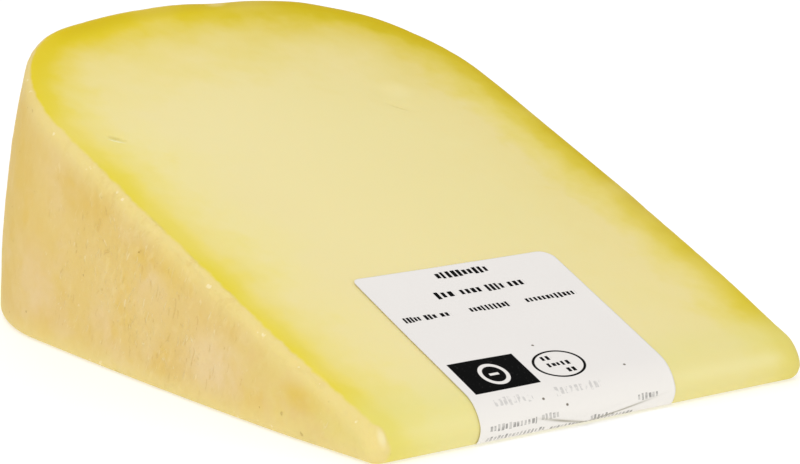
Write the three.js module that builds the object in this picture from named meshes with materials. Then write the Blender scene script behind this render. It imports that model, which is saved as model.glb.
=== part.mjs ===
// A wedge of young, semi-hard cheese, lying on one of its two cut faces.
//
// The wedge is a narrow sector of a flat round wheel. Its tip, where the wheel's centre
// would be, is cut off blunt and has rounded over, and a paper label is folded over it.
//
// Millimetres. X runs along the wheel's axis, across the wedge; +Y runs from the tip to
// the wheel's rim; +Z is up. The shape is worked out with y = 0 on the wheel's axis, and
// the last lines move the finished wedge so that its origin is under its middle.

import * as THREE from "three";
import { mergeVertices } from "three/addons/utils/BufferGeometryUtils.js";

// ---- the wheel that the wedge was cut from
const WHEEL_RADIUS = 178.3;
const WHEEL_HALF_THICKNESS = 56;
const SIDE_CROWN_RADIUS = 1200; // the flat sides of a wheel still bulge a little
const SIDE_CROWN_CENTRE = 98; // distance from the axis at which a side stands out most
const RIM_CROWN_RADIUS = 116; // the rim bulges from side to side
const SHOULDER_RADIUS = 24.6; // where a side turns into the rim

// ---- the two cuts and the blunt tip between them
const SECTOR = THREE.MathUtils.degToRad(20.6);
const UPPER_CUT_DROP = 4.65; // how far below the wheel's axis the upper cut passes
const TIP_FROM_AXIS = 31.4;
const TIP_RADIUS = 8.5; // the upper cut rolls over into the tip
const TIP_LOWER_RADIUS = 3.2; // the tip turns under onto the lower cut

// ---- softened edges between the rind and the cuts
const EDGE_RADIUS = 2.7;
const TIP_EDGE_RADIUS = 3.6;
const TIP_EDGE_REACH = 30; // the tip's softer edges fade out over this length
const TIP_EDGE_HOLD = 5; // and are full over this length

// ---- the label, a strip of paper folded over the tip
const LABEL_WIDTH = 48;
const LABEL_TOP = 76.6; // its upper edge, measured up the slope from the wheel's axis
const LABEL_OFFSET = -3.3; // its middle is a little off the wedge's middle
const LABEL_LEAN = THREE.MathUtils.degToRad(2.6); // it is stuck on slightly askew
const LABEL_CORNER_RADIUS = 3;
const LABEL_THICKNESS = 0.25;
const LABEL_GAP = 0.3;
const LABEL_END = THREE.MathUtils.degToRad(37); // it stops this far short of the underside

// ---- how finely the curved faces are divided
const CHEESE_STEPS = { across: 28, along: 44, up: 8 };
const LABEL_STEPS = { across: 4, along: 72 };
const STEP_CROWDING = 1.4; // above 1, the steps crowd towards the edges
const FITTING_ROUNDS = 10;
const PROBE = 1e-3;

// The tip in side view: a large arc that runs off the upper cut, then a small arc that
// meets the underside. Both are found from their radii and from where the tip stands.
const cutNormal = new THREE.Vector2(-Math.sin(SECTOR), Math.cos(SECTOR));
const lowerCentre = new THREE.Vector2(TIP_FROM_AXIS + TIP_LOWER_RADIUS, TIP_LOWER_RADIUS);
const centreSpacing = TIP_RADIUS - TIP_LOWER_RADIUS;
const upperAngle = Math.PI / 2 + SECTOR;
const joinAngle = upperAngle + Math.acos(
  (TIP_RADIUS + aboveUpperCut(lowerCentre.x, lowerCentre.y)) / centreSpacing,
);
const lowerAngle = 1.5 * Math.PI;
const tipCentre = new THREE.Vector2(
  lowerCentre.x - centreSpacing * Math.cos(joinAngle),
  lowerCentre.y - centreSpacing * Math.sin(joinAngle),
);

// Distance above the plane of the upper cut, negative inside the cheese.
function aboveUpperCut(y, z) {
  return (z + UPPER_CUT_DROP) * Math.cos(SECTOR) - y * Math.sin(SECTOR);
}

// The direction of (y, z) seen from a centre, counted from 0 to a full turn.
function directionFrom(centre, y, z) {
  return THREE.MathUtils.euclideanModulo(Math.atan2(z - centre.y, y - centre.x), 2 * Math.PI);
}

// Distance outside the wedge in side view: the cuts and the tip, negative inside.
function outsideSideView(y, z) {
  const tipDirection = directionFrom(tipCentre, y, z);
  const lowerDirection = directionFrom(lowerCentre, y, z);
  if (lowerDirection >= joinAngle && lowerDirection <= lowerAngle) {
    return Math.hypot(y - lowerCentre.x, z - lowerCentre.y) - TIP_LOWER_RADIUS;
  }
  if (tipDirection >= upperAngle && tipDirection <= joinAngle) {
    return Math.max(Math.hypot(y - tipCentre.x, z - tipCentre.y) - TIP_RADIUS, -z);
  }
  return Math.max(aboveUpperCut(y, z), -z);
}

// Two faces that meet square, with their edge rounded to a radius.
function roundedEdge(outsideA, outsideB, radius) {
  const a = Math.max(radius + outsideA, 0);
  const b = Math.max(radius + outsideB, 0);
  return Math.min(-radius, Math.max(outsideA, outsideB)) + Math.hypot(a, b);
}

// Distance outside the whole wheel, negative inside it.
function outsideWheel(x, y, z) {
  const fromAxis = Math.hypot(y, z);
  const sideSag = (fromAxis - SIDE_CROWN_CENTRE) ** 2 / (2 * SIDE_CROWN_RADIUS);
  const outsideSide = Math.abs(x) - (WHEEL_HALF_THICKNESS - sideSag);
  const rimSag = x ** 2 / (2 * RIM_CROWN_RADIUS);
  const rimTilt = Math.hypot(1, x / RIM_CROWN_RADIUS);
  const outsideRim = (fromAxis - (WHEEL_RADIUS - rimSag)) / rimTilt;
  return roundedEdge(outsideSide, outsideRim, SHOULDER_RADIUS);
}

// Distance outside the wedge, negative inside it.
function outsideWedge(x, y, z) {
  const reach = TIP_FROM_AXIS + TIP_EDGE_REACH;
  const atTip = 1 - THREE.MathUtils.smoothstep(y, TIP_FROM_AXIS + TIP_EDGE_HOLD, reach);
  const radius = THREE.MathUtils.lerp(EDGE_RADIUS, TIP_EDGE_RADIUS, atTip);
  return roundedEdge(outsideWheel(x, y, z), outsideSideView(y, z), radius);
}

// Moves a point straight onto the wedge's surface.
function settle(point) {
  const slope = new THREE.Vector3();
  for (let round = 0; round < FITTING_ROUNDS; round += 1) {
    const { x, y, z } = point;
    slope.set(
      outsideWedge(x + PROBE, y, z) - outsideWedge(x - PROBE, y, z),
      outsideWedge(x, y + PROBE, z) - outsideWedge(x, y - PROBE, z),
      outsideWedge(x, y, z + PROBE) - outsideWedge(x, y, z - PROBE),
    ).divideScalar(2 * PROBE);
    point.addScaledVector(slope, -outsideWedge(x, y, z) / slope.lengthSq());
  }
  if (Math.abs(point.z) < PROBE) point.z = 0;
}

// A box from -1 to 1 each way, divided into steps, closed, and bent by a function that
// moves each of its points.
function bentBox(stepsX, stepsY, stepsZ, bend) {
  const box = new THREE.BoxGeometry(2, 2, 2, stepsX, stepsY, stepsZ);
  box.deleteAttribute("normal");
  box.deleteAttribute("uv");
  const solid = mergeVertices(box);
  const places = solid.getAttribute("position");
  const point = new THREE.Vector3();
  for (let i = 0; i < places.count; i += 1) {
    bend(point.fromBufferAttribute(places, i));
    places.setXYZ(i, point.x, point.y, point.z);
  }
  solid.computeVertexNormals();
  return solid;
}

// Even steps from -1 to 1, crowded towards both ends.
function crowded(t) {
  return Math.sign(t) * (1 - (1 - Math.abs(t)) ** STEP_CROWDING);
}

// A point of the box becomes a point of the wedge: across the wheel, out from its axis,
// and round from the lower cut to the upper one.
function cheesePoint(point) {
  const outward = (crowded(point.y) + 1) / 2;
  const turned = (crowded(point.z) + 1) / 2;
  const fromAxis = THREE.MathUtils.lerp(TIP_FROM_AXIS, WHEEL_RADIUS, outward);
  const topAngle = Math.atan2(fromAxis * Math.tan(SECTOR) - UPPER_CUT_DROP, fromAxis);
  point.set(
    crowded(point.x) * WHEEL_HALF_THICKNESS,
    fromAxis * Math.cos(topAngle * turned),
    fromAxis * Math.sin(topAngle * turned),
  );
  settle(point);
}

// The label's path in side view: `down` is the distance from the place where the upper
// cut starts to roll over, `lift` the height above the cheese.
const tipArcLength = TIP_RADIUS * (joinAngle - upperAngle);
const tipArcStart = tipCentre.clone().addScaledVector(cutNormal, TIP_RADIUS);
const labelRise = LABEL_TOP - tipArcStart.x / Math.cos(SECTOR);
const labelRun = tipArcLength + TIP_LOWER_RADIUS * (lowerAngle - LABEL_END - joinAngle);

function onLabelPath(down, lift) {
  if (down <= 0) {
    return new THREE.Vector2(Math.cos(SECTOR), Math.sin(SECTOR))
      .multiplyScalar(-down).add(tipArcStart).addScaledVector(cutNormal, lift);
  }
  const onTip = down <= tipArcLength;
  const centre = onTip ? tipCentre : lowerCentre;
  const radius = onTip ? TIP_RADIUS : TIP_LOWER_RADIUS;
  const angle = onTip
    ? upperAngle + down / TIP_RADIUS
    : joinAngle + (down - tipArcLength) / TIP_LOWER_RADIUS;
  return new THREE.Vector2(Math.cos(angle), Math.sin(angle))
    .multiplyScalar(radius + lift).add(centre);
}

// A point of the box becomes a point of the label: across it, down it from its upper
// edge, and through its thickness.
function labelPoint(point) {
  const half = LABEL_WIDTH / 2;
  const length = labelRise + labelRun;
  const fromTop = ((1 - point.y) / 2) * length;
  const intoCorner = Math.max(LABEL_CORNER_RADIUS - fromTop, 0);
  const cornerInset = LABEL_CORNER_RADIUS - Math.sqrt(LABEL_CORNER_RADIUS ** 2 - intoCorner ** 2);
  const across = point.x * (half - cornerInset);
  const askew = across * Math.tan(LABEL_LEAN) * (1 - fromTop / length);
  const down = fromTop - labelRise + askew;
  const lift = LABEL_GAP + ((point.z + 1) / 2) * LABEL_THICKNESS;
  const place = onLabelPath(down, lift);
  point.set(LABEL_OFFSET + across - fromTop * Math.tan(LABEL_LEAN), place.x, place.y);
}

function makeCheese() {
  const { across, along, up } = CHEESE_STEPS;
  const solid = bentBox(across, along, up, cheesePoint);
  const colour = new THREE.MeshStandardMaterial({ color: "#ead79a", roughness: 0.42, metalness: 0 });
  const mesh = new THREE.Mesh(solid, colour);
  mesh.name = "cheese_wedge";
  return mesh;
}

function makeLabel() {
  const strip = bentBox(LABEL_STEPS.across, LABEL_STEPS.along, 1, labelPoint);
  const colour = new THREE.MeshStandardMaterial({ color: "#eee9e5", roughness: 0.6, metalness: 0 });
  const mesh = new THREE.Mesh(strip, colour);
  mesh.name = "label";
  return mesh;
}

const wedge = new THREE.Group();
wedge.add(makeCheese(), makeLabel());
wedge.position.y = -new THREE.Box3().setFromObject(wedge).getCenter(new THREE.Vector3()).y;

const part = new THREE.Group();
part.add(wedge);

export default part;
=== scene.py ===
# %% [markdown]
# # A wedge of young cheese with a paper label
#
# The wedge is a narrow slice of a flat round wheel. It lies on one cut face, so the
# other cut slopes up in front of us, the wheel's flat rind stands at the left, and the
# wheel's rim is at the back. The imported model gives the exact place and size. This
# lesson adds what the eye wants: soft edges, a tan rind, the yellow band that cheese
# has just under its rind, a pale middle, and a label that really folds over the tip.

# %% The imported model
import math

import bpy
import numpy as np
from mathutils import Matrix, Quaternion, Vector


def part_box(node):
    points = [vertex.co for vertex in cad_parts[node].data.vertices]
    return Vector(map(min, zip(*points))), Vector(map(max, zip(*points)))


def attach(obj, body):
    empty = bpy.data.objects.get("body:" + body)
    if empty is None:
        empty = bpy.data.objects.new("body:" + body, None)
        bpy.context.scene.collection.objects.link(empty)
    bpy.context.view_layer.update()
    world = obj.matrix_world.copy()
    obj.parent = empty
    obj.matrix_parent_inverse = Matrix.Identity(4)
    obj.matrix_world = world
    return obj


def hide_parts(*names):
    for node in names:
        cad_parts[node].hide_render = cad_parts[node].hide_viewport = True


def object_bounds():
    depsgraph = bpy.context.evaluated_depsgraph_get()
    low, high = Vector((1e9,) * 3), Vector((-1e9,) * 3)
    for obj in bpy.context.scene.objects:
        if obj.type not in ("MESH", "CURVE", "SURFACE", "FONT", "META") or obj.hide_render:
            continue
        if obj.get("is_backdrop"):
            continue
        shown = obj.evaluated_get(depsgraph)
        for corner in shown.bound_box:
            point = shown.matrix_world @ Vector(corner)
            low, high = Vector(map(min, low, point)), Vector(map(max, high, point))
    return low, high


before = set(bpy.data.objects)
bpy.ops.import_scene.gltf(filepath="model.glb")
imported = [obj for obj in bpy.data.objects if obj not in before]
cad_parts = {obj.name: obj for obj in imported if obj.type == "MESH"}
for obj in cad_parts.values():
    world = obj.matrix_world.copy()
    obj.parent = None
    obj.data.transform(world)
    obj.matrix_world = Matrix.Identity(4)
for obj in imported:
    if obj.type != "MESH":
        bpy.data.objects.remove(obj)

model_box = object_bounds()
model_low, model_high = (corner.copy() for corner in model_box)
model_middle = (model_low + model_high) / 2
print("the model measures", [round(side * 1000, 1) for side in model_high - model_low], "mm")

# %% [markdown]
# ## The camera
#
# A long lens keeps the wedge's edges nearly parallel, as food is usually shown for sale.
# The camera's place is told as one would say it across a table: so far round, so far up,
# this far away, and tipped by a degree or two. Its aim is measured from the model's
# middle, so it stays right if the model moves.

# %% Camera
VIEW_ROUND = math.radians(-39.55)
VIEW_UP = math.radians(13.3)
VIEW_TILT = math.radians(1.58)
VIEW_DISTANCE = 0.7791
VIEW_AIM = Vector((0.0110, 0.0, -0.0086))
VIEW_LENS = 175.6
VIEW_FARTHEST = 30

toward_camera = Vector((
    math.sin(VIEW_ROUND) * math.cos(VIEW_UP),
    -math.cos(VIEW_ROUND) * math.cos(VIEW_UP),
    math.sin(VIEW_UP),
))
camera = bpy.data.objects.new("camera", bpy.data.cameras.new("camera"))
camera.data.sensor_width = 36
camera.data.lens = VIEW_LENS
camera.data.clip_end = VIEW_FARTHEST
camera.location = model_middle + VIEW_AIM + toward_camera * VIEW_DISTANCE
camera.rotation_mode = "QUATERNION"
level = (-toward_camera).to_track_quat("-Z", "Y")
camera.rotation_quaternion = level @ Quaternion((0, 0, 1), VIEW_TILT)
bpy.context.collection.objects.link(camera)
bpy.context.scene.camera = camera
print("camera at", [round(c, 3) for c in camera.location])

# %% [markdown]
# ## Light
#
# Food on white is lit from everywhere: big soft boxes, white card, hardly a shadow.
# A white world does most of it. One wide lamp above and to the left gives the slope and
# the rind a little shape, one behind lets the far edge stand out, and a low one in front
# lifts the tip. The plain colour transform keeps the colours as they are mixed.

# %% Studio
ROOM_BRIGHTNESS = 0.72
SOFT_BOXES = (  # name, place, width, power
    ("box_above", (-0.7, -0.5, 1.1), 0.9, 5.4),
    ("box_behind", (0.5, 0.9, 0.9), 0.6, 1.2),
    ("box_front", (0.0, -1.3, 0.35), 0.5, 0.8),
)


def soft_box(name, place, width, power):
    lamp = bpy.data.lights.new(name, "AREA")
    lamp.shape = "DISK"
    lamp.size = width
    lamp.energy = power
    box = bpy.data.objects.new(name, lamp)
    box.location = place
    box.rotation_mode = "QUATERNION"
    box.rotation_quaternion = (Vector(place) - model_middle).to_track_quat("Z", "Y")
    bpy.context.collection.objects.link(box)


for settings in SOFT_BOXES:
    soft_box(*settings)

bpy.context.scene.view_settings.view_transform = "Standard"
world = bpy.data.worlds.new("white_room")
bpy.context.scene.world = world
world.use_nodes = True
world.node_tree.nodes["Background"].inputs["Color"].default_value = (1, 1, 1, 1)
world.node_tree.nodes["Background"].inputs["Strength"].default_value = ROOM_BRIGHTNESS
print(len(SOFT_BOXES), "soft boxes in a white room")

# %% [markdown]
# ## Helpers for materials
#
# A material here is a small network of nodes. Every link written out would bury the
# idea, so helpers do it: `node` makes a node and plugs its inputs, and `sums` does
# arithmetic. An input is given a plain value or another node's output.

# %% Node helpers
def plug(tree, socket, value):
    if isinstance(value, bpy.types.NodeSocket):
        tree.links.new(value, socket)
    else:
        socket.default_value = value


def node(tree, kind, inputs, output=0, **settings):
    made = tree.nodes.new("ShaderNode" + kind)
    for name, value in settings.items():
        setattr(made, name, value)
    for name, value in inputs.items():
        plug(tree, made.inputs[name], value)
    return made.outputs[output]


def sums(tree, operation, *values):
    return node(tree, "Math", dict(enumerate(values)), operation=operation)


def times(tree, product, *others):
    for other in others:
        product = sums(tree, "MULTIPLY", product, other)
    return product


def flipped(tree, value):
    """1 where the value is 0, and 0 where it is 1."""
    return sums(tree, "SUBTRACT", 1.0, value)


def apart(tree, one, other):
    """How far two values lie apart, whichever is greater."""
    return sums(tree, "ABSOLUTE", sums(tree, "SUBTRACT", one, other))


def between(tree, value, start, end):
    """0 below start, 1 above end, smooth in between."""
    ranges = {"Value": value, "From Min": start, "From Max": end}
    return node(tree, "MapRange", ranges, interpolation_type="SMOOTHSTEP")


def blended(tree, amount, one, other):
    """A plain number that runs from one to the other as amount goes from 0 to 1."""
    return node(tree, "Mix", {0: amount, 2: one, 3: other}, data_type="FLOAT")


print("helpers for numbers ready")

# %% [markdown]
# Places come in millimetres, as a cheese is easier to think of that way. Unevenness is
# noise, not a painted picture, because noise has no seams and stays sharp close up.

# %% Place and noise helpers
def millimetres(tree):
    place = node(tree, "TexCoord", {}, output="Object")
    return node(tree, "VectorMath", {0: place, "Scale": 1000.0}, operation="SCALE")


def measure(tree, name):
    """A number that the mesh carries at each of its points."""
    return node(tree, "Attribute", {}, output="Fac", attribute_name=name)


def clouds(tree, where, size, detail=2.0, roughness=0.5):
    """Soft noise with blotches of about this many millimetres."""
    settings = {"Vector": where, "Scale": 1 / size, "Detail": detail, "Roughness": roughness}
    return node(tree, "TexNoise", settings)


def stretched(tree, where, factors):
    return node(tree, "VectorMath", {0: where, 1: factors}, operation="MULTIPLY")


print("helpers for places and noise ready")

# %% [markdown]
# Colours are written as a screen shows them, from 0 to 255, which is how a maker would
# match them by eye. The renderer wants linear light, so one helper turns them over.

# %% Colour and material helpers
def linear(red, green, blue):
    shown = [part / 255 for part in (red, green, blue)]
    light = [s / 12.92 if s <= 0.04045 else ((s + 0.055) / 1.055) ** 2.4 for s in shown]
    return (*light, 1.0)


def mixed(tree, amount, one, other):
    """A colour that runs from one to the other as amount goes from 0 to 1."""
    return node(tree, "Mix", {0: amount, 6: one, 7: other}, output=2, data_type="RGBA")


def tinted(tree, under, amount, strength, colour):
    """The colour under, covered with a screen colour by amount times strength."""
    return mixed(tree, times(tree, amount, strength), under, linear(*colour))


def colour_steps(tree, value, steps):
    """A colour that changes along a value. steps: place from 0 to 1, then the colour."""
    made = tree.nodes.new("ShaderNodeValToRGB")
    ramp = made.color_ramp
    while len(ramp.elements) < len(steps):
        ramp.elements.new(0.5)
    for element, (place, colour) in zip(ramp.elements, steps):
        element.position = place
        element.color = linear(*colour)
    plug(tree, made.inputs[0], value)
    return made.outputs[0]


def raised(tree, shader, relief):
    """Plugs a relief in millimetres into the shader's bump."""
    bump = node(tree, "Bump", {"Height": relief, "Distance": 0.001, "Strength": 1.0})
    plug(tree, shader.inputs["Normal"], bump)


def new_material(name):
    material = bpy.data.materials.new(name)
    material.use_nodes = True
    tree = material.node_tree
    return material, tree, tree.nodes["Principled BSDF"]


print("helpers for colour and materials ready")

# %% [markdown]
# ## The floor
#
# A plain pale table, wide enough that no view finds its edge, and glowing softly from
# within, as a light table does. It is marked as stage, so it isn't counted as part of
# the object. Its faint mottling keeps it from looking like a hole in the picture.

# %% Floor
FLOOR_HALF = 9.0
FLOOR_GLOW = 0.52
MOTTLE_SIZE = 90.0

floor_mesh = bpy.data.meshes.new("floor")
turns = ((-1, -1), (1, -1), (1, 1), (-1, 1))
corners = [(x * FLOOR_HALF, y * FLOOR_HALF, model_low.z) for x, y in turns]
floor_mesh.from_pydata(corners, [], [(0, 1, 2, 3)])
floor = bpy.data.objects.new("floor", floor_mesh)
bpy.context.collection.objects.link(floor)
pale, tree, shader = new_material("pale_table")
mottle = clouds(tree, millimetres(tree), MOTTLE_SIZE)
table_colour = mixed(tree, mottle, linear(196, 196, 196), linear(200, 200, 200))
plug(tree, shader.inputs["Base Color"], table_colour)
shader.inputs["Roughness"].default_value = 0.8
shader.inputs["Specular IOR Level"].default_value = 0.2
shader.inputs["Emission Color"].default_value = (1, 1, 1, 1)
shader.inputs["Emission Strength"].default_value = FLOOR_GLOW
floor_mesh.materials.append(pale)
floor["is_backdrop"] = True
print("floor laid at", round(model_low.z, 4))

# %% [markdown]
# ## The shape as distances
#
# The wedge could be cut out with booleans, but they leave knife-sharp edges and an
# uneven mesh. Instead the shape is described by one number: how far a point lies
# outside it, negative inside. The wheel, the two cuts and the blunt tip each give such
# a distance, and two of them meet in an edge rounded to any radius. The sizes are the
# wedge's own, in millimetres, seen from the wheel's axis.

# %% The wedge's sizes
WHEEL_RADIUS = 178.3
WHEEL_HALF = 56.0
SIDE_CROWN = 1200.0
SIDE_CROWN_CENTRE = 98.0
RIM_CROWN = 116.0
SHOULDER = 24.6
SECTOR = math.radians(20.6)
CUT_DROP = 4.65
TIP = 31.4
TIP_RADIUS = 8.5
TIP_LOWER_RADIUS = 3.2
EDGE_RADIUS = 2.7
TIP_EDGE_RADIUS = 3.6

cheese_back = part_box("cheese_wedge")[1][1] * 1000
AXIS_Y = cheese_back - WHEEL_RADIUS
print("the wheel's axis lies at y =", round(AXIS_Y, 2), "mm")

# %% [markdown]
# Seen from the side, the wedge is two straight lines that the blunt tip joins with two
# arcs: a wide one from the upper cut, and a tight one that runs into the underside.
# Where the arcs meet follows from their sizes, so only the radii have to be chosen.

# %% Tip arcs
cut_normal = np.array([-math.sin(SECTOR), math.cos(SECTOR)])
lower_centre = np.array([TIP + TIP_LOWER_RADIUS, TIP_LOWER_RADIUS])
centre_spacing = TIP_RADIUS - TIP_LOWER_RADIUS
UPPER_ANGLE = math.pi / 2 + SECTOR
LOWER_ANGLE = 1.5 * math.pi


def above_cut(y, z):
    return (z + CUT_DROP) * math.cos(SECTOR) - y * math.sin(SECTOR)


cut_to_arc = TIP_RADIUS + above_cut(*lower_centre)
JOIN_ANGLE = UPPER_ANGLE + math.acos(cut_to_arc / centre_spacing)
join_way = np.array([math.cos(JOIN_ANGLE), math.sin(JOIN_ANGLE)])
tip_centre = lower_centre - centre_spacing * join_way
print("the tip's arcs meet at", round(math.degrees(JOIN_ANGLE), 1), "degrees")

# %% [markdown]
# The distances themselves: to the wheel, to the side view with its arcs, and to both at
# once. `settle` moves points onto the surface: it asks which way the distance grows and
# steps back along it, and a few rounds land within a hair.

# %% Distances
def rounded(a, b, radius):
    corner = np.hypot(np.maximum(radius + a, 0), np.maximum(radius + b, 0))
    return np.minimum(-radius, np.maximum(a, b)) + corner


def outside_wheel(x, y, z):
    from_axis = np.hypot(y, z)
    side = np.abs(x) - WHEEL_HALF + (from_axis - SIDE_CROWN_CENTRE) ** 2 / (2 * SIDE_CROWN)
    rim = from_axis - WHEEL_RADIUS + x ** 2 / (2 * RIM_CROWN)
    return rounded(side, rim / np.hypot(1, x / RIM_CROWN), SHOULDER)


def outside_side_view(y, z):
    turn = 2 * math.pi
    seen_from_tip = np.arctan2(z - tip_centre[1], y - tip_centre[0]) % turn
    seen_from_lower = np.arctan2(z - lower_centre[1], y - lower_centre[0]) % turn
    distance = np.maximum(above_cut(y, z), -z)
    on_tip = (seen_from_tip >= UPPER_ANGLE) & (seen_from_tip <= JOIN_ANGLE)
    tip_arc = np.hypot(y - tip_centre[0], z - tip_centre[1]) - TIP_RADIUS
    distance = np.where(on_tip, np.maximum(tip_arc, -z), distance)
    on_lower = (seen_from_lower >= JOIN_ANGLE) & (seen_from_lower <= LOWER_ANGLE)
    lower_arc = np.hypot(y - lower_centre[0], z - lower_centre[1]) - TIP_LOWER_RADIUS
    return np.where(on_lower, lower_arc, distance)


def smooth(value, start, end):
    """0 before start, 1 past end, smooth in between."""
    t = np.clip((value - start) / (end - start), 0, 1)
    return t * t * (3 - 2 * t)


def outside_wedge(points):
    x, y, z = points.T
    at_tip = 1 - smooth(y, TIP + 5, TIP + 30)
    radius = EDGE_RADIUS + (TIP_EDGE_RADIUS - EDGE_RADIUS) * at_tip
    return rounded(outside_wheel(x, y, z), outside_side_view(y, z), radius)


def steepest(distance, points, probe=1e-3):
    """Which way the distance grows at each point, and how fast."""
    slopes = []
    for step in np.eye(3) * probe:
        slopes.append((distance(points + step) - distance(points - step)) / (2 * probe))
    return np.stack(slopes, axis=1)


def settle(points, rounds=9):
    for _ in range(rounds):
        slope = steepest(outside_wedge, points)
        points = points - slope * (outside_wedge(points) / (slope ** 2).sum(axis=1))[:, None]
    return points


deep_inside = np.array([[0.0, (TIP + WHEEL_RADIUS) / 2, 15.0]])
print("a place well inside reads", round(float(outside_wedge(deep_inside)[0]), 1), "mm")

# %% [markdown]
# ## A box bent into a wedge
#
# A box divided into a fine grid has tidy squares on all six faces. Each of its points
# is sent to a place near the wedge's surface, then settled onto it. The squares stay
# even, so the surface shades smoothly and can carry fine dents. A remesh would do it
# too, but its squares follow no edge.

# %% Mesh helpers
def box_grid(steps):
    """Points and squares of a divided box from -1 to 1, each point made only once."""
    squares = []
    for axis in range(3):
        one, other = (axis + 1) % 3, (axis + 2) % 3
        a, b = np.meshgrid(np.arange(steps[one]), np.arange(steps[other]), indexing="ij")
        for side in (0, steps[axis]):
            ring = []
            for da, db in ((0, 0), (1, 0), (1, 1), (0, 1)):
                place = np.zeros(a.shape + (3,), dtype=int)
                place[..., axis] = side
                place[..., one] = a + da
                place[..., other] = b + db
                ring.append(place.reshape(-1, 3))
            squares.append(np.stack(ring if side else ring[::-1], axis=1))
    squares = np.concatenate(squares)
    grid, names = np.unique(squares.reshape(-1, 3), axis=0, return_inverse=True)
    return grid / np.array(steps) * 2 - 1, names.reshape(-1, 4)


def mesh_from(name, points_mm, squares):
    """A smooth mesh in metres from points in millimetres seen from the wheel's axis."""
    mesh = bpy.data.meshes.new(name)
    placed = (points_mm + np.array([0, AXIS_Y, 0])) / 1000
    mesh.vertices.add(len(placed))
    mesh.vertices.foreach_set("co", placed.ravel())
    mesh.loops.add(squares.size)
    mesh.loops.foreach_set("vertex_index", squares.ravel())
    mesh.polygons.add(len(squares))
    mesh.polygons.foreach_set("loop_start", np.arange(0, squares.size, 4))
    mesh.polygons.foreach_set("use_smooth", np.ones(len(squares), dtype=bool))
    mesh.update(calc_edges=True)
    mesh.validate()
    made = bpy.data.objects.new(name, mesh)
    bpy.context.collection.objects.link(made)
    return made


def carry(made, numbers):
    """Gives each point of the mesh numbers that its material can read by name."""
    for name, values in numbers.items():
        made.data.attributes.new(name, "FLOAT", "POINT").data.foreach_set("value", values)


print("mesh helpers ready")

# %% [markdown]
# The box's length runs from tip to rim, its width along the wheel's axis, and its height
# turns through the wedge's angle. Its lines are crowded towards the edges, where the
# surface bends most.

# %% Bent box
CHEESE_STEPS = (180, 260, 60)
CHEESE_CROWDING = 1.3


def crowded(t, power):
    return np.sign(t) * (1 - (1 - np.abs(t)) ** power)


grid, cheese_squares = box_grid(CHEESE_STEPS)
u, v, w = crowded(grid, CHEESE_CROWDING).T
from_axis = TIP + (WHEEL_RADIUS - TIP) * (v + 1) / 2
top_angle = np.arctan2(from_axis * math.tan(SECTOR) - CUT_DROP, from_axis)
angle = top_angle * (w + 1) / 2
start = np.stack([u * WHEEL_HALF, from_axis * np.cos(angle), from_axis * np.sin(angle)], axis=1)
cheese_points = settle(start)
worst_miss = float(np.abs(outside_wedge(cheese_points)).max())
print(len(cheese_points), "points, worst miss", round(worst_miss, 4), "mm")

# %% [markdown]
# ## Uneven, like real cheese
#
# Real cheese is never dead flat. The wire leaves broad swells, the rind has shallow
# dimples, its edge crumbles a little at the left, and the back edge is pressed in at two
# places. A knife left a nick and a scratch on the upper cut, with a shallow pinch beside
# the scratch. All of this only ever goes inward, so the wedge keeps its measured size.
# The noise comes from a fixed table of seeded numbers, so every run gives the same
# cheese.

# %% Unevenness
NOISE_SIZE = 32
NOISE_START = 11.3
noise_table = np.random.RandomState(7).rand(NOISE_SIZE, NOISE_SIZE, NOISE_SIZE)


def lumps(points, size, shift=0.0):
    """Soft noise from 0 to 1 with lumps of about this many millimetres."""
    place = points / np.asarray(size, dtype=float) + NOISE_START + shift
    low = np.floor(place).astype(int)
    part = place - low
    part = part * part * (3 - 2 * part)
    total = 0
    for corner in np.ndindex(2, 2, 2):
        weight = np.prod(np.where(corner, part, 1 - part), axis=1)
        i, j, k = ((low + corner) % NOISE_SIZE).T
        total = total + weight * noise_table[i, j, k]
    return total


def layered(points, layers):
    return sum(depth * lumps(points, size, shift) for depth, size, shift in layers)


def edge_place(points):
    """Millimetres in from the rind on a cut, and minus those from a cut on the rind."""
    x, y, z = points.T
    return outside_side_view(y, z) - outside_wheel(x, y, z)


def dent(points, x, slope_place, reach_x, reach_y, lean):
    """A soft dent on the upper cut: 1 at its middle, 0 beyond its reach."""
    across = points[:, 0] - x
    along = points[:, 1] / math.cos(SECTOR) - slope_place
    turned_x = across * math.cos(lean) + along * math.sin(lean)
    turned_y = along * math.cos(lean) - across * math.sin(lean)
    on_cut = smooth(points[:, 2], 8.0, 16.0)
    return on_cut * np.exp(-((turned_x / reach_x) ** 2 + (turned_y / reach_y) ** 2))


print("noise table of", noise_table.size, "numbers")

# %% [markdown]
# Each kind of unevenness has its own depth in millimetres and its own place. The lists
# hold the sizes, and one function adds them up. The underside is left nearly flat,
# because it stands on the table.

# %% Dips
SKIN = 0.05  # all but the underside lies at least this far inside the measured wedge
SWELLS = ((0.30, 34.0, 0.0), (0.10, 11.0, 3.7))  # depth, size of lumps, shift
DIMPLES = ((0.16, 5.5, 8.1), (0.10, 2.4, 1.9))
EDGE_WIDTH = 2.2
BACK_EVENNESS = 0.6  # the part of the swells that is missing along the back edge
CRUMB_SIZE = 2.6
CRUMB_START = 0.6  # only the noise above this breaks off
CRUMBS_ANYWHERE = 0.1
CRUMBS_AT_LEFT = 0.8
WOBBLE_SIZE = 9.0
WOBBLE_ANYWHERE = 0.1
WOBBLE_AT_BACK = 0.1
PRESSED_PLACES = ((9.5, 5.5, 0.6), (36.0, 4.5, 0.8))  # x, reach, depth
CUT_DENTS = (  # depth, x, place up the slope, two reaches, lean
    (0.22, -44.4, 133.1, 2.2, 0.5, -0.68),
    (0.30, 25.0, 131.2, 3.2, 0.6, -0.80),
    (0.22, 26.0, 138.0, 5.0, 3.2, -0.30),
)
UNDERSIDE_FLATNESS = 0.97


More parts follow.
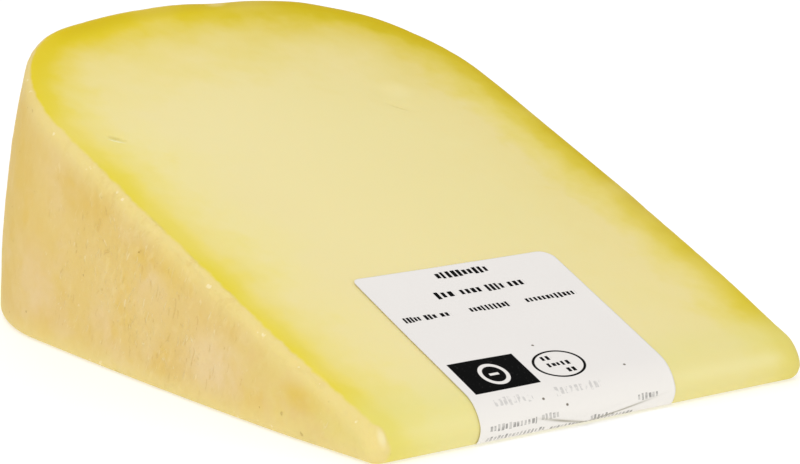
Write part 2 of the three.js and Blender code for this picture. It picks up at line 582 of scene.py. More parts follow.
def dips(points):
    """How far the surface lies inside the smooth wedge, in millimetres."""
    x, y, z = points.T
    edge = edge_place(points)
    near_edge = np.exp(-(edge / EDGE_WIDTH) ** 2)
    on_rind = 1 - smooth(edge, -3.0, 0.0)
    to_back = smooth(y, 130.0, 170.0)
    at_left = (1 - smooth(x, -40.0, 0.0)) * (1 - smooth(y, 110.0, 145.0))
    swell = layered(points, SWELLS) + on_rind * layered(points, DIMPLES)
    swell = swell * (1 - BACK_EVENNESS * near_edge * to_back)
    breaking = np.maximum(lumps(points, CRUMB_SIZE, 5.2) - CRUMB_START, 0) / (1 - CRUMB_START)
    crumbs = near_edge * (CRUMBS_ANYWHERE + CRUMBS_AT_LEFT * at_left) * breaking
    wobble = WOBBLE_ANYWHERE + WOBBLE_AT_BACK * to_back
    wobble = near_edge * wobble * lumps(points, WOBBLE_SIZE, 2.2)
    for pressed_x, reach, depth in PRESSED_PLACES:
        pressed = np.exp(-(((x - pressed_x) / reach) ** 2))
        wobble = wobble + near_edge * to_back * depth * pressed
    dents = sum(depth * dent(points, *place) for depth, *place in CUT_DENTS)
    underside = 1 - smooth(z, 0.2, 2.5)
    return (SKIN + swell + crumbs + wobble + dents) * (1 - UNDERSIDE_FLATNESS * underside)


inward = steepest(outside_wedge, cheese_points)
inward = -inward / np.linalg.norm(inward, axis=1)[:, None]
cheese_dips = dips(cheese_points)
cheese_surface = cheese_points + inward * cheese_dips[:, None]
cheese = mesh_from("cheese", cheese_surface, cheese_squares)
print("deepest dip", round(float(cheese_dips.max()), 2), "mm")

# %% [markdown]
# ## What the cheese knows about itself
#
# The colours follow the distance to the rind, so the mesh carries that distance as a
# number at each of its points. Others say how far a point lies to the back, to the right
# or at the tip, how much painted highlight it gets on the bend of the nose, and where the
# rind runs a little over the cut at the lower left corner. Along the back edge the cheese
# has dried further, and there it counts as lying to the right. A material reads these
# numbers like any texture, with no unwrapping.

# %% Numbers on the mesh
BACK_STARTS_LATER = 9.0  # at the left, in millimetres
# height and width, in millimetres, of the painted highlight on the bend of the nose
NOSE_BEND_HEIGHT = 5.5
NOSE_BEND_WIDTH = 1.3

x, y, z = cheese_points.T
edge_mm = edge_place(cheese_points)
left_here = 1 - smooth(x, -45.0, -10.0)
to_back_here = smooth(y - BACK_STARTS_LATER * left_here, 114.0, 156.0)
dried = smooth(x, -40.0, -24.0) * smooth(y, 140.0, 158.0) * (1 - smooth(edge_mm, 3.0, 8.0))
dried = dried * (0.6 + 0.4 * smooth(x, -10.0, 16.0))
to_right_here = smooth(x, -20.0, 40.0) * (0.6 + 0.4 * smooth(y, 48.0, 86.0))
# A painted highlight along the bend of the nose, full on the right and half as strong at the left.
nose_bend_highlight = np.exp(-(((z - NOSE_BEND_HEIGHT) / NOSE_BEND_WIDTH) ** 2))
nose_bend_highlight = nose_bend_highlight * (1 - smooth(y, TIP + 2.5, TIP + 5.0))
nose_bend_highlight = nose_bend_highlight * (0.5 + 0.5 * smooth(x, 16.0, 26.0)) * (1 - smooth(np.abs(x), 44.0, 50.0))
cheese_numbers = {
    "edge_mm": edge_mm,
    "to_back": to_back_here,
    "to_right": np.maximum(to_right_here, dried),
    "at_tip": 1 - smooth(y, TIP + 3.0, TIP + 15.0),
    "left_corner": (1 - smooth(y, TIP + 1.5, TIP + 3.5)) * (1 - smooth(x, -46.0, -40.0)),
    "nose_bend_highlight": nose_bend_highlight,
}
carry(cheese, cheese_numbers)
print("the rind is at most", round(float(edge_mm.max()), 1), "mm from the middle of a cut")

# %% [markdown]
# ## The cheese's material
#
# One material holds all of it, because the real thing is one piece, and a material for
# each face would leave a seam at every edge. It starts with the numbers that the mesh
# carries. The band under the rind is deepest in colour at the back and at the right, and
# `depth` says how deep.

# %% Cheese material: its measures
cheese_finish, tree, shader = new_material("cheese")
where = millimetres(tree)
behind = node(tree, "SeparateXYZ", {"Vector": where}, output=1)
height = node(tree, "SeparateXYZ", {"Vector": where}, output=2)
edge = measure(tree, "edge_mm")
to_back = measure(tree, "to_back")
to_right = measure(tree, "to_right")
tip = measure(tree, "at_tip")
depth = sums(tree, "MULTIPLY_ADD", to_back, 0.5, times(tree, to_right, 0.55))
depth = sums(tree, "MINIMUM", depth, 1.0)
print("the material reads", len(cheese_numbers), "numbers from the mesh")

# %% [markdown]
# ### The cut
#
# Just inside the rind the cheese has dried and turned deep yellow, and it pales over two
# or three centimetres. A ramp along the distance to the rind says so. One ramp would do
# for an even wheel, but this wedge is deeper in colour at the back and at the right, so
# there is a ramp for each quarter and the numbers mix them. The distance is made to
# wander, or the band would look ruled. Over the middle lies a faint blush.

# %% Colour of the cut
BAND_REACH = 40.0  # millimetres that a ramp covers
BAND_WANDER = 0.9
BAND_COLOURS = {  # millimetres in from the rind, and the colour there
    "front_left": (
        (2.0, (230, 211, 65)),
        (3.5, (231, 212, 74)),
        (5.0, (232, 213, 83)),
        (7.0, (235, 217, 107)),
        (9.0, (235, 219, 127)),
        (12.0, (237, 222, 139)),
        (17.0, (238, 224, 156)),
        (30.0, (238, 224, 163)),
    ),
    "front_right": (
        (2.0, (205, 179, 29)),
        (4.0, (213, 191, 53)),
        (6.0, (220, 199, 70)),
        (9.0, (228, 210, 110)),
        (12.0, (231, 214, 128)),
        (16.0, (233, 217, 148)),
        (23.0, (234, 219, 152)),
        (35.0, (234, 221, 156)),
    ),
    "back_left": (
        (2.0, (223, 197, 4)),
        (5.0, (224, 200, 21)),
        (7.0, (227, 203, 53)),
        (9.0, (229, 207, 83)),
        (12.0, (231, 211, 107)),
        (16.0, (233, 215, 126)),
        (23.0, (235, 218, 137)),
        (35.0, (237, 222, 156)),
    ),
    "back_right": (
        (2.0, (205, 176, 0)),
        (5.0, (207, 181, 0)),
        (7.0, (210, 186, 21)),
        (9.0, (216, 193, 50)),
        (12.0, (222, 199, 77)),
        (16.0, (225, 204, 100)),
        (23.0, (227, 209, 116)),
        (35.0, (232, 216, 142)),
    ),
}

drift = sums(tree, "SUBTRACT", clouds(tree, where, 15.0, 3.0), 0.5)
patchy = sums(tree, "SUBTRACT", clouds(tree, where, 5.0, 2.0), 0.5)
drift = sums(tree, "MULTIPLY_ADD", patchy, 0.7, drift)
wandering = sums(tree, "MULTIPLY_ADD", drift, times(tree, edge, BAND_WANDER), edge)
band_place = sums(tree, "DIVIDE", wandering, BAND_REACH)
bands = {}
for quarter, steps in BAND_COLOURS.items():
    bands[quarter] = colour_steps(tree, band_place, [(mm / BAND_REACH, shade) for mm, shade in steps])
front_band = mixed(tree, to_right, bands["front_left"], bands["front_right"])
back_band = mixed(tree, to_right, bands["back_left"], bands["back_right"])
cut_colour = mixed(tree, to_back, front_band, back_band)
cut_colour = tinted(tree, cut_colour, tip, 0.5, (229, 222, 140))
blush = between(tree, clouds(tree, where, 30.0, 2.0), 0.45, 0.75)
cut_colour = tinted(tree, cut_colour, blush, 0.3, (237, 219, 158))
print("the cut's colour comes from", len(bands), "ramps")

# %% [markdown]
# ### The rind
#
# A young wheel's rind is a thin dried skin, never one colour. Flat tan would look like
# plastic, so clouds of gold, milky pink, ochre and yellow lie over each other, each with
# its own size. Gold gathers to the back, milk low in front, and yellow at the tip.

# %% Colour of the rind
patches = clouds(tree, where, 24.0, 4.0, 0.55)
rind_colour = colour_steps(tree, patches, [
    (0.30, (223, 189, 104)),
    (0.42, (226, 196, 118)),
    (0.52, (227, 198, 123)),
    (0.60, (228, 200, 133)),
    (0.70, (230, 202, 145)),
])

golden = between(tree, clouds(tree, where, 13.0, 3.0), 0.48, 0.66)
golden = sums(tree, "MULTIPLY_ADD", between(tree, behind, 25.0, 72.0), 0.6, golden)
golden = sums(tree, "MINIMUM", golden, 1.0)
rind_colour = tinted(tree, rind_colour, golden, 0.55, (222, 188, 98))

low_front = times(tree, between(tree, height, 30.0, 14.0), between(tree, behind, 10.0, -25.0), 0.45)
milky = between(tree, clouds(tree, stretched(tree, where, (1, 1, 1.4)), 17.0, 3.0), 0.52, 0.68)
milky = times(tree, milky, between(tree, height, 40.0, 20.0))
milky = sums(tree, "MAXIMUM", milky, low_front)
rind_colour = tinted(tree, rind_colour, milky, 0.5, (230, 203, 152))

ochre = between(tree, clouds(tree, where, 6.5, 3.0), 0.56, 0.70)
rind_colour = tinted(tree, rind_colour, ochre, 0.4, (226, 192, 96))

yellowing = between(tree, clouds(tree, where, 8.0, 3.0), 0.30, 0.60)
yellowing = times(tree, yellowing, between(tree, behind, -24.0, -62.0))
rind_colour = tinted(tree, rind_colour, yellowing, 0.65, (231, 214, 124))
print("the rind has base patches and four kinds of cloud")

# %% [markdown]
# ### Spots and the lip
#
# Noise puts its patches anywhere. A few spots on this rind have their own place, such as
# the milky one low down and the golden ones beside it, so they are listed one by one and
# broken up with soft noise. Next to the cut the rind has a pale yellow lip, which the
# deep colour at the back and right hides.

# %% Spots on the rind
RIND_SPOTS = (  # middle seen from the wheel's axis, reaches, strength, colour
    ((-56.0, 76.5, 9.0), (6.0, 12.0, 9.0), 0.62, (235, 212, 172)),
    ((-55.0, 138.0, 12.0), (8.0, 11.0, 14.0), 0.5, (232, 206, 160)),
    ((-54.0, 146.0, 34.0), (8.0, 10.0, 16.0), 0.6, (224, 190, 96)),
    ((-55.5, 51.5, 8.8), (5.0, 8.0, 4.0), 0.8, (225, 194, 88)),
    ((-56.0, 90.0, 24.0), (5.0, 7.0, 6.0), 0.5, (228, 196, 96)),
)


def fading(tree, away, reaches):
    """1 where away is nothing, and 0 from its reach on."""
    away = stretched(tree, away, tuple(1 / reach for reach in reaches))
    length = node(tree, "VectorMath", {0: away}, output=1, operation="LENGTH")
    return between(tree, length, 1.0, 0.2)


def spot(tree, where, middle, reaches):
    """A soft spot. middle: seen from the wheel's axis."""
    x, y, z = middle
    away = node(tree, "VectorMath", {0: where, 1: (x, y + AXIS_Y, z)}, operation="SUBTRACT")
    return fading(tree, away, reaches)


broken = between(tree, clouds(tree, where, 7.0, 3.0), 0.1, 0.6)
for middle, reaches, strength, shade in RIND_SPOTS:
    amount = times(tree, spot(tree, where, middle, reaches), broken)
    rind_colour = tinted(tree, rind_colour, amount, strength, shade)
rind_colour = tinted(tree, rind_colour, tip, 0.6, (230, 215, 136))
lip = times(tree, between(tree, edge, -6.5, 0.5), flipped(tree, depth))
rind_colour = tinted(tree, rind_colour, lip, 0.9, (235, 215, 142))
print(len(RIND_SPOTS), "spots and a lip laid on the rind")

# %% [markdown]
# ### Scuffs and wrinkles
#
# A wheel is turned by hand and slid on its shelf, so the middle of its side is scuffed
# with short dashes, pale where the skin was rubbed and dark where it was scratched.
# Around them the skin has dried into fine wrinkles, with a painted highlight on their
# ridges and painted shade in their hollows. Both are noise, squeezed one way and turned to
# lean. As faces, they would take millions for a tenth of a millimetre's depth.

# %% Scuffs and wrinkles
SCUFFED_AT = (0.0, 95.0 + AXIS_Y, 19.0)
SCUFFED_REACH = 46.0
SCUFFED_FULL = 12.0  # nearer than this all of it is scuffed
WRINKLE_LEAN = -24
WRINKLE_SIZE = 1.7


def leaning(tree, where, degrees, squeeze):
    """The place turned on the wheel's side and squeezed, so that noise there is long."""
    settings = {"Vector": where, "Angle": math.radians(degrees)}
    turned = node(tree, "VectorRotate", settings, rotation_type="X_AXIS")
    return stretched(tree, turned, (1.0, 1.0, squeeze))


def dashes(tree, where, lean, size, start):
    """Short fine dashes on the rind that lean by an angle."""
    squeezed = leaning(tree, where, lean, 0.34)
    settings = {"Vector": squeezed, "Scale": 1 / size, "Detail": 1.5, "Distortion": 0.8}
    return between(tree, node(tree, "TexNoise", settings), start, start + 0.08)


side_place = stretched(tree, where, (0.0, 1.0, 1.0))
from_scuffed = node(tree, "VectorMath", {0: side_place, 1: SCUFFED_AT}, output=1, operation="DISTANCE")
near_scuffed = between(tree, from_scuffed, SCUFFED_REACH, SCUFFED_FULL)
scuffed = sums(tree, "ADD", times(tree, near_scuffed, 0.30), clouds(tree, where, 9.0, 2.0))
scuffed = times(tree, between(tree, scuffed, 0.52, 0.72), flipped(tree, lip))

wrinkles = clouds(tree, leaning(tree, where, WRINKLE_LEAN, 0.6), WRINKLE_SIZE, 3.0, 0.5)
wrinkled = times(tree, near_scuffed, between(tree, clouds(tree, where, 11.0, 2.0), 0.38, 0.62))
wrinkled = sums(tree, "MULTIPLY_ADD", wrinkled, 0.8, 0.2)
# Painted highlight on the wrinkles' ridges and painted shade in their hollows.
wrinkle_ridges_highlit = times(tree, between(tree, wrinkles, 0.52, 0.72), wrinkled)
wrinkle_hollows_shaded = times(tree, between(tree, wrinkles, 0.48, 0.30), wrinkled)
rind_colour = tinted(tree, rind_colour, wrinkle_ridges_highlit, 0.3, (240, 220, 160))
rind_colour = tinted(tree, rind_colour, wrinkle_hollows_shaded, 0.26, (214, 180, 100))

pale_dashes = sums(tree, "MAXIMUM", dashes(tree, where, -26, 0.8, 0.64), dashes(tree, where, 18, 0.7, 0.68))
pale_dashes = times(tree, pale_dashes, scuffed)
dark_dashes = times(tree, dashes(tree, where, -14, 1.0, 0.64), scuffed)
rind_colour = tinted(tree, rind_colour, dark_dashes, 0.35, (212, 176, 100))
rind_colour = tinted(tree, rind_colour, pale_dashes, 0.45, (244, 225, 172))
specks = between(tree, clouds(tree, where, 1.5, 1.0), 0.77, 0.80)
rind_colour = tinted(tree, rind_colour, specks, 0.3, (170, 132, 66))
print("the scuffed place reaches", SCUFFED_REACH, "mm round its middle")

# %% [markdown]
# ### Where rind meets cut
#
# One number switches between the two colours: the distance to the rind with a slightly
# ragged edge, so the border is crisp but not ruled. Along the left edge a few dry crumbs
# get painted glints, and a painted highlight lies along the bend of the nose.

# %% Rind or cut
RAGGED_SIZE = 2.2
RIND_GIVES_WAY = 2.2  # where the band is deep, it starts this much nearer the edge
RIND_RUNS_OVER = 2.0  # at the lower left corner, the rind reaches this much further

ragged = sums(tree, "SUBTRACT", clouds(tree, where, RAGGED_SIZE, 2.0), 0.5)
ragged = sums(tree, "MULTIPLY_ADD", ragged, 1.2, edge)
ragged = sums(tree, "MULTIPLY_ADD", depth, RIND_GIVES_WAY, ragged)
ragged = sums(tree, "MULTIPLY_ADD", measure(tree, "left_corner"), -RIND_RUNS_OVER, ragged)
is_cut = between(tree, ragged, 1.3, 2.5)
colour = mixed(tree, is_cut, rind_colour, cut_colour)

# Painted glints: pale highlights on a few dry crumbs along the rind's edge, fewer where the band is deep.
painted_crumb_glints = between(tree, sums(tree, "ABSOLUTE", sums(tree, "ADD", edge, 0.4)), 1.6, 0.4)
painted_crumb_glints = times(tree, painted_crumb_glints, between(tree, clouds(tree, where, 1.9, 2.0), 0.65, 0.71))
painted_crumb_glints = times(tree, painted_crumb_glints, flipped(tree, depth))
colour = tinted(tree, colour, painted_crumb_glints, 0.7, (248, 234, 190))
# painted highlight along the bend of the nose
colour = tinted(tree, colour, measure(tree, "nose_bend_highlight"), 0.5, (240, 230, 168))
print("rind and cut joined, with glints and the bend of the nose")

# %% [markdown]
# ### Marks on the cut
#
# The mesh has the nick and the scratch as dents, but they are too fine to show by shape
# alone. So each also gets painted shade and light: a painted shadow line beside a painted
# highlight for the nick, and a faint painted shadow line for the scratch with a pale painted
# highlight on the pinch beside it. A rubbed place by the rim is colour only, and the light
# spot on the lower left corner is a painted highlight.

# %% Marks
STREAK_UP = 20 / 3  # how far a streak reaches through the cut, in millimetres


def streak(tree, where, middle, half_length, half_width, lean):
    """A short soft streak on the upper cut. middle: x and the place up the slope."""
    x, slope_place = middle
    y = slope_place * math.cos(SECTOR)
    centre = (x, y + AXIS_Y, y * math.tan(SECTOR) - CUT_DROP)
    settings = {"Vector": where, "Center": centre, "Angle": math.radians(lean)}
    turned = node(tree, "VectorRotate", settings, rotation_type="Z_AXIS")
    away = node(tree, "VectorMath", {0: turned, 1: centre}, operation="SUBTRACT")
    return fading(tree, away, (half_length, half_width, STREAK_UP))


# The nick: a painted shadow line in its hollow and at its end, and a painted highlight on the ridge beside
# it. The same lines also dent the bump.
nick_shaded_hollow = streak(tree, where, (-44.2, 133.5), 2.0, 0.4, 39)
nick_end_shade = streak(tree, where, (-42.9, 132.2), 0.9, 0.45, 20)
nick_highlit_ridge = streak(tree, where, (-44.7, 132.3), 2.2, 0.6, 36)
rubbed = streak(tree, where, (9.5, 176.6), 3.4, 1.5, 0)
# The scratch: a faint painted shadow line, with a pale painted highlight on the shallow pinch beside it.
pinch_painted_highlight = streak(tree, where, (28.2, 137.2), 5.0, 4.6, 10)
scratch_painted_shade = streak(tree, where, (24.6, 130.9), 3.2, 0.6, 45)
# A painted highlight on the rounded lower left corner of the tip.
corner_painted_highlight = spot(tree, where, (-51.4, 32.6, 5.3), (1.1, 1.8, 2.8))
marks = (
    (nick_shaded_hollow, 0.28, (208, 187, 92)),
    (nick_end_shade, 0.22, (204, 184, 96)),
    (nick_highlit_ridge, 0.85, (250, 243, 186)),
    (rubbed, 0.5, (234, 212, 146)),
    (pinch_painted_highlight, 0.6, (238, 224, 160)),
    (scratch_painted_shade, 0.4, (210, 192, 112)),
    (corner_painted_highlight, 0.5, (246, 236, 194)),
)
for mark in marks:
    colour = tinted(tree, colour, *mark)
plug(tree, shader.inputs["Base Color"], colour)
print(len(marks), "marks laid on the cut")

# %% [markdown]
# ### Sheen and relief
#
# The cut is smooth and slightly moist, the rind drier and duller. The wire leaves long
# faint lines across the cut, and the rind is as rough as leather. All of it is finer
# than the mesh, so it goes into the bump. A little light also enters the cheese and
# comes out beside, which takes the hardness off.

# %% Sheen and relief
cut_rough = sums(tree, "MULTIPLY_ADD", clouds(tree, where, 6.0, 3.0), 0.14, 0.36)
rind_rough = sums(tree, "MULTIPLY_ADD", clouds(tree, where, 3.0, 3.0), 0.2, 0.42)
plug(tree, shader.inputs["Roughness"], blended(tree, is_cut, rind_rough, cut_rough))

grain = clouds(tree, where, 0.5, 2.0)
wire_lines = clouds(tree, stretched(tree, where, (0.06, 1.0, 1.0)), 2.6, 2.0)
leather = clouds(tree, where, 1.6, 4.0, 0.6)
cut_relief = times(tree, grain, 0.006)
cut_heights = ((wire_lines, 0.03), (nick_shaded_hollow, -0.2), (nick_highlit_ridge, 0.25))
rind_relief = times(tree, leather, 0.16)
rind_heights = (
    (times(tree, wrinkles, wrinkled), 0.3),
    (pale_dashes, 0.07),
    (dark_dashes, -0.07),
    (specks, -0.16),
)
for pattern, rise in cut_heights:
    cut_relief = sums(tree, "MULTIPLY_ADD", pattern, rise, cut_relief)
for pattern, rise in rind_heights:
    rind_relief = sums(tree, "MULTIPLY_ADD", pattern, rise, rind_relief)
raised(tree, shader, blended(tree, is_cut, rind_relief, cut_relief))

shader.inputs["IOR"].default_value = 1.45
shader.inputs["Specular IOR Level"].default_value = 0.05
shader.inputs["Subsurface Weight"].default_value = 0.15
shader.inputs["Subsurface Radius"].default_value = (1.0, 0.75, 0.35)
shader.inputs["Subsurface Scale"].default_value = 0.0015
cheese.data.materials.append(cheese_finish)
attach(cheese, "root")
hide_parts("cheese_wedge")
print("cheese material has", len(tree.nodes), "nodes")

# %% [markdown]
# ## The label's sheet
#
# The label is a strip of thin paper stuck to the slope, folded over the tip and ending
# at the tip's lower edge. A flat plane with a bend would float over the dips, so the
# strip is laid point by point: across the label, down its path over the tip, then
# pressed into the same dips as the cheese under it. Here is the path, as one would draw
# it from the side.

# %% Label path
LABEL_WIDTH = 48.0
LABEL_TOP = 76.6
LABEL_END = math.radians(37)

tip_arc_start = tip_centre + cut_normal * TIP_RADIUS
tip_arc_length = TIP_RADIUS * (JOIN_ANGLE - UPPER_ANGLE)
lower_arc_length = TIP_LOWER_RADIUS * (LOWER_ANGLE - LABEL_END - JOIN_ANGLE)
label_rise = LABEL_TOP - tip_arc_start[0] / math.cos(SECTOR)
label_length = label_rise + tip_arc_length + lower_arc_length


def label_path(down):
    """Where the label's path runs in side view, and which way is up from it."""
    on_tip_angle = UPPER_ANGLE + down / TIP_RADIUS
    on_lower_angle = JOIN_ANGLE + (down - tip_arc_length) / TIP_LOWER_RADIUS
    angle = np.where(down <= tip_arc_length, on_tip_angle, on_lower_angle)
    angle = np.where(down <= 0, UPPER_ANGLE, angle)
    away = np.stack([np.cos(angle), np.sin(angle)], axis=1)
    on_lower = (down > tip_arc_length)[:, None]
    place = np.where(on_lower, lower_centre + TIP_LOWER_RADIUS * away, tip_centre + TIP_RADIUS * away)
    slope = np.array([math.cos(SECTOR), math.sin(SECTOR)])
    return place + np.maximum(-down, 0)[:, None] * slope, away


print("the label is", LABEL_WIDTH, "by", round(label_length, 1), "mm")

# %% [markdown]
# The label was stuck on by hand: a little to one side, leaning, its upper edge not quite
# square to its sides, and one corner rounder than the other. Its edges curl up a tenth
# of a millimetre or less. Where paper turns over a curve it puckers, so three small
# folds run across it there, each with a painted crease shadow just below.

# %% Label sheet
LABEL_OFFSET = -3.3
LABEL_LEAN = math.tan(math.radians(2.6))
LABEL_TOP_TILT = math.tan(math.radians(1.2))
LABEL_CORNERS = (1.5, 3.0)  # radius at top left, at top right
LABEL_LIFT = 0.10
LABEL_PAPER = 0.12
LABEL_STEPS = (150, 220, 1)
SIDE_CURL = 0.10
TOP_CURL = 0.06
CURL_REACH = 0.9
RIPPLE = 0.05
RIPPLE_SIZE = 7.0
FOLD_HEIGHT = 0.28
FOLD_WIDTH = 0.35
CREASE_WIDTH = 0.24
CREASE_BELOW = 0.4
FOLDS = (  # middle, half length, how far up from the lower end, tilt
    (-3.5, 5.0, 2.1, 0.22),
    (10.0, 6.5, 1.9, -0.14),
    (2.5, 1.6, 1.0, 0.0),
)


def pucker(across, down, middle, reach, at, tilt, width):
    """A low fold that runs across the label."""
    line = (down - at - tilt * (across - middle)) / width
    return np.exp(-(line ** 2) - ((across - middle) / reach) ** 2)


grid, label_squares = box_grid(LABEL_STEPS)
down = (1 - grid[:, 1]) / 2 * label_length
corner = np.where(grid[:, 0] < 0, *LABEL_CORNERS)
inset = corner - np.sqrt(corner ** 2 - np.maximum(corner - down, 0) ** 2)
across = grid[:, 0] * (LABEL_WIDTH / 2 - inset)
path_place = down - label_rise + across * LABEL_TOP_TILT * (1 - down / label_length)
place, away = label_path(path_place)
sideways = LABEL_OFFSET + across - down * LABEL_LEAN
under_label = np.stack([sideways, place[:, 0], place[:, 1]], axis=1)

from_side = LABEL_WIDTH / 2 - np.abs(across)
curl = SIDE_CURL * np.exp(-from_side / CURL_REACH) + TOP_CURL * np.exp(-down / CURL_REACH)
folds = 0
# where a painted crease shadow lies, just below each fold
painted_crease_shadows = 0
for middle, reach, up, tilt in FOLDS:
    at = label_length - up
    folds = folds + pucker(across, down, middle, reach, at, tilt, FOLD_WIDTH)
    painted_crease_shadows = painted_crease_shadows + pucker(across, down, middle, reach, at + CREASE_BELOW, tilt, CREASE_WIDTH)
ripple = RIPPLE * lumps(np.stack([across, down, 0 * down], axis=1), RIPPLE_SIZE, 4.4)
thickness = LABEL_PAPER * (grid[:, 2] + 1) / 2
lift = LABEL_LIFT + thickness + curl + FOLD_HEIGHT * folds + ripple - dips(under_label)
label_points = under_label + np.concatenate([0 * lift[:, None], away * lift[:, None]], axis=1)
label = mesh_from("label_strip", label_points, label_squares)
carry(label, {"across_mm": across, "down_mm": down, "crease": np.minimum(painted_crease_shadows, 1.0)})
print("the sheet has", len(label_points), "points and", len(FOLDS), "folds")

# %% [markdown]
# ## The label's print
#
# A shop label carries a heading, a line of bold print, small column heads, a square
# mark, an oval mark, a faint stamp and small print on the fold. Lettering would make it
# somebody's label, so each line of print is a row of plain little blocks, and the marks
# are plain shapes. They are drawn in the material from the two measures that the sheet
# carries, so they stay sharp and follow the paper over the tip.

# %% Print helpers
INK_EDGE = 0.07
NARROWEST = 0.52  # a block's width, as a part of its step
WIDTH_VARIES = 0.26
LOW_BLOCK = 0.36  # half a low block's height, as a part of the row's
TALL_MORE = 0.14
TALL_ABOVE = 0.6  # the share of blocks that stay low


def block(tree, across, down, middle, level, width, height):
    """1 inside a plain upright block, 0 outside, with a slightly soft edge."""
    x_in = between(tree, apart(tree, across, middle), width / 2 + INK_EDGE, width / 2 - INK_EDGE)
    y_in = between(tree, apart(tree, down, level), height / 2 + INK_EDGE, height / 2 - INK_EDGE)
    return times(tree, x_in, y_in)


def oval_distance(tree, across, down, middle, level, half_width, half_height):
    """About how far a place lies outside an oval, in millimetres."""
    x_part = sums(tree, "DIVIDE", sums(tree, "SUBTRACT", across, middle), half_width)
    y_part = sums(tree, "DIVIDE", sums(tree, "SUBTRACT", down, level), half_height)
    squares = sums(tree, "ADD", sums(tree, "POWER", x_part, 2.0), sums(tree, "POWER", y_part, 2.0))
    length = sums(tree, "SUBTRACT", sums(tree, "SQRT", squares), 1.0)
    return times(tree, length, (half_width + half_height) / 2)


def outline(tree, distance, half_width):
    """1 on a line round a shape, from the distance to it."""
    off = sums(tree, "ABSOLUTE", distance)
    return between(tree, off, half_width + INK_EDGE, half_width - INK_EDGE)


def word_row(tree, across, down, start, end, level, height, pitch, seed):
    """A row of little blocks of uneven width and height, which stands for a word."""
    step = sums(tree, "DIVIDE", sums(tree, "SUBTRACT", across, start), pitch)
    number = sums(tree, "ADD", sums(tree, "FLOOR", step), seed)
    part = sums(tree, "FRACT", step)
    chance = node(tree, "TexWhiteNoise", {"W": number}, noise_dimensions="1D")
    other = node(tree, "TexWhiteNoise", {"W": sums(tree, "ADD", number, 0.5)}, noise_dimensions="1D")
    fill = sums(tree, "MULTIPLY_ADD", chance, WIDTH_VARIES, NARROWEST)
    filled = sums(tree, "LESS_THAN", part, fill)
    is_tall = sums(tree, "GREATER_THAN", other, TALL_ABOVE)
    reach = sums(tree, "MULTIPLY_ADD", is_tall, height * TALL_MORE, height * LOW_BLOCK)
    in_height = sums(tree, "LESS_THAN", apart(tree, down, level), reach)
    in_row = block(tree, across, down, (start + end) / 2, level, end - start, height)
    return times(tree, filled, in_height, in_row)


def all_of(tree, parts):
    ink = parts[0]
    for more in parts[1:]:
        ink = sums(tree, "MAXIMUM", ink, more)
    return ink


print("print helpers ready")

# %% [markdown]
# The print is laid out row by row, in millimetres across and down the label. The last
# number of a row only picks the pattern of its blocks.

# %% Rows of print
BLACK_ROWS = (  # start, end, level, height, step, pattern
    (-5.6, 6.9, 2.7, 2.1, 1.3, 3),
    (-9.8, -5.2, 8.6, 2.3, 1.53, 11),
    (-3.8, 1.6, 8.6, 2.1, 1.35, 23),
    (2.5, 7.0, 8.6, 2.2, 1.12, 31),
    (7.9, 11.9, 8.6, 2.2, 1.33, 47),
    (-21.5, -17.4, 14.4, 1.7, 0.82, 5),
    (-16.6, -13.6, 14.4, 1.6, 1.0, 15),
    (-12.8, -10.4, 14.4, 1.6, 1.2, 25),
    (-5.7, 4.0, 14.4, 1.7, 0.97, 35),
    (8.0, 20.4, 14.4, 1.7, 1.03, 45),
    (-1.6, 0.8, 32.2, 1.3, 1.2, 52),
    (-1.6, 4.0, 34.4, 1.3, 1.12, 61),
    (1.6, 4.0, 36.6, 1.3, 1.2, 72),
)
STAMP_ROWS = (
    (-19.2, -10.2, 41.2, 2.0, 1.1, 83),
    (-4.6, 7.4, 41.3, 2.0, 1.2, 94),
)
SMALL_ROWS = (
    (-21.6, -10.5, 45.8, 1.3, 0.9, 102),
    (-9.4, -5.0, 45.5, 1.2, 0.9, 113),
    (3.0, 9.0, 47.6, 1.2, 0.9, 118),
    (14.5, 19.5, 45.4, 1.3, 0.9, 124),
    (-22.0, -8.0, 47.9, 1.1, 0.9, 135),
    (-6.5, 14.0, 48.2, 0.9, 0.9, 151),
)

paper, tree, shader = new_material("label_paper")
where = millimetres(tree)
down_here = measure(tree, "down_mm")
on_sheet = (tree, measure(tree, "across_mm"), down_here)


def rows(table):
    return all_of(tree, [word_row(*on_sheet, *row) for row in table])


black_rows = rows(BLACK_ROWS)
stamp = rows(STAMP_ROWS)
small_print = rows(SMALL_ROWS)
print(len(BLACK_ROWS + STAMP_ROWS + SMALL_ROWS), "rows of blocks")

# %% [markdown]
# The two marks: a thin oval with three of the rows inside it, and a black block with
# a ring and a bar cut out of it. Thermal print is never a solid black, so the ink is worn
# by a little fine noise.

# %% Marks on the label
OVAL = (1.2, 34.4, 5.6, 4.0)  # middle, level, half width, half height
OVAL_LINE = 0.26
SQUARE = (-14.2, 33.8, 15.6, 9.6)  # middle, level, width, height
RING = (-14.2, 33.9, 2.8, 2.8)
RING_LINE = 0.42
BAR = (-14.2, 33.9, 2.2, 0.65)

oval_mark = outline(tree, oval_distance(*on_sheet, *OVAL), OVAL_LINE)
ring = outline(tree, oval_distance(*on_sheet, *RING), RING_LINE)
cut_out = all_of(tree, [ring, block(*on_sheet, *BAR)])
square_mark = times(tree, block(*on_sheet, *SQUARE), flipped(tree, cut_out))
ink = all_of(tree, [black_rows, oval_mark, square_mark])
wear = between(tree, clouds(tree, where, 0.5, 2.0), 0.22, 0.36)
ink = times(tree, ink, sums(tree, "MULTIPLY_ADD", wear, 0.04, 0.96))
print("an oval", 2 * OVAL[2], "mm wide and a block", SQUARE[2], "mm wide")
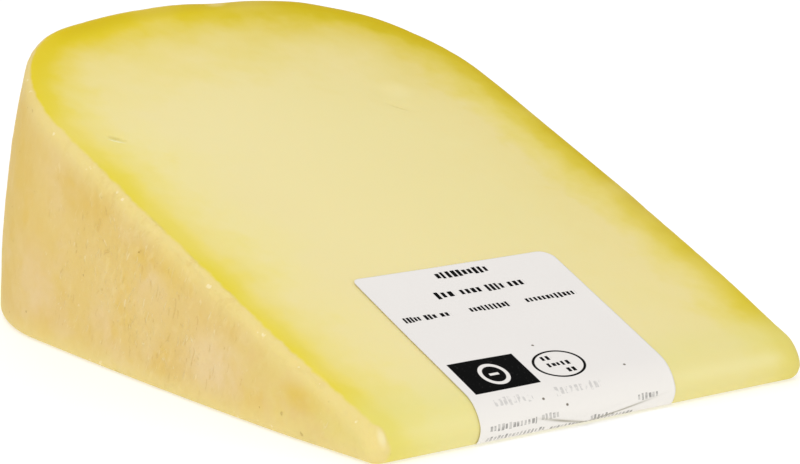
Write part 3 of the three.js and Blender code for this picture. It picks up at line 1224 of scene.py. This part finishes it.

# %% [markdown]
# ### The paper
#
# White paper, with a painted highlight making it whiter where it turns down over the tip
# and faces the light. The stamp and the small print are faint and blotchy, four specks of
# dirt lie on the sheet, and the painted crease shadows go over the print, because a
# crease's shadow falls on ink as well.

# %% Paper
SPECKS = ((-0.3, 27.8), (14.5, 38.2), (-8.0, 42.2), (-2.9, 44.1))  # across, down

sheet = mixed(tree, clouds(tree, where, 14.0, 2.0), linear(234, 230, 226), linear(237, 233, 229))
# Painted highlight: the paper is whiter where it turns down over the tip.
fold_painted_highlight = between(tree, down_here, 36.0, 46.0)
sheet = tinted(tree, sheet, fold_painted_highlight, 0.6, (243, 239, 231))
specks = []
for place in SPECKS:
    specks.append(between(tree, oval_distance(*on_sheet, *place, 0.3, 0.25), 0.1, -0.1))
sheet = mixed(tree, all_of(tree, specks), sheet, linear(120, 112, 100))

blotchy = between(tree, clouds(tree, where, 1.1, 2.0), 0.42, 0.62)
printed = tinted(tree, sheet, times(tree, stamp, blotchy), 0.32, (120, 120, 122))
small = times(tree, small_print, sums(tree, "MULTIPLY_ADD", blotchy, 0.35, 0.30))
printed = mixed(tree, small, printed, linear(84, 84, 80))
printed = mixed(tree, ink, printed, linear(4, 4, 4))
# Painted shadow along each crease, over paper and print alike.
printed = tinted(tree, printed, measure(tree, "crease"), 0.9, (120, 113, 82))
plug(tree, shader.inputs["Base Color"], printed)

fibres = clouds(tree, where, 0.25, 2.0)
plug(tree, shader.inputs["Roughness"], sums(tree, "MULTIPLY_ADD", fibres, 0.12, 0.44))
paper_relief = times(tree, fibres, 0.004)
paper_relief = sums(tree, "MULTIPLY_ADD", clouds(tree, where, 5.0, 2.0), 0.05, paper_relief)
raised(tree, shader, paper_relief)
plug(tree, shader.inputs["Specular IOR Level"], sums(tree, "MULTIPLY_ADD", ink, -0.18, 0.2))
label.data.materials.append(paper)
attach(label, "root")
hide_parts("label")
print("label material has", len(tree.nodes), "nodes")

# %% [markdown]
#
# The looks may not change the size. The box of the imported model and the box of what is
# shown are written side by side, so they can be compared.

# %% Sizes
shown_low, shown_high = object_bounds()
sizes = {
    "model": [list(model_low), list(model_high)],
    "shown": [list(shown_low), list(shown_high)],
}
for name, (low, high) in sizes.items():
    print(name, [round(1000 * c, 2) for c in low], [round(1000 * c, 2) for c in high])
